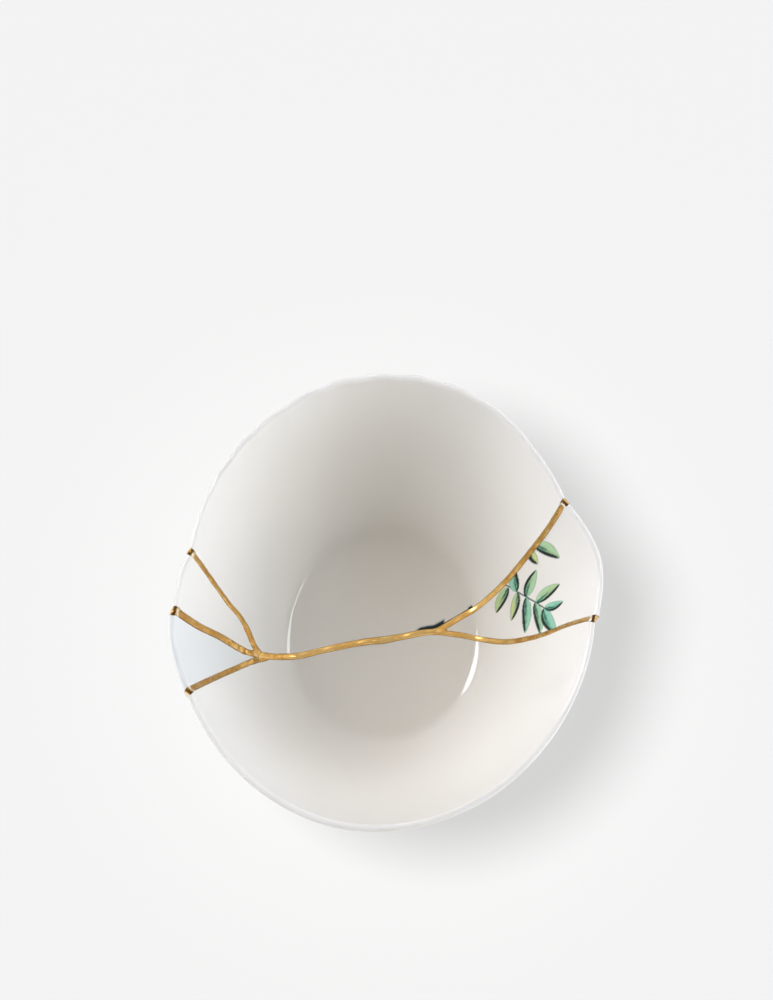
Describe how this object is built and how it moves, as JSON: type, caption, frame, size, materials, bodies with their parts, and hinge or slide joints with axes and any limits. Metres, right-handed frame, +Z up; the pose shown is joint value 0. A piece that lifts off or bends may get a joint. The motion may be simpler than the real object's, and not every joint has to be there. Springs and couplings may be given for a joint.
{
  "type": "soup plate",
  "caption": "Deep soup plate with a foot ring: broken porcelain shards, one with a painted leaf sprig, joined by raised branching gold seams.",
  "frame": {"origin": "On the surface that the plate stands on, under the middle of its outline", "axes": "+Z up out of the bowl, +X towards the leaf shard, +Y towards the scalloped side of the rim"},
  "size_m": [0.1844, 0.1998, 0.0727],
  "materials": {
    "warm_glaze": "glossy warm white porcelain glaze",
    "painted_glaze": "glossy warm white porcelain glaze with a green leaf sprig painted under it",
    "cool_glaze": "glossy slightly cool white porcelain glaze",
    "gold": "raised polished gold, slightly uneven"
  },
  "bodies": {
    "root": {"upper_shard": "warm_glaze", "leaf_shard": "painted_glaze", "lower_shard": "warm_glaze", "left_upper_shard": "warm_glaze", "left_lower_shard": "cool_glaze", "gold_seams": "gold"}
  },
  "joints": []
}
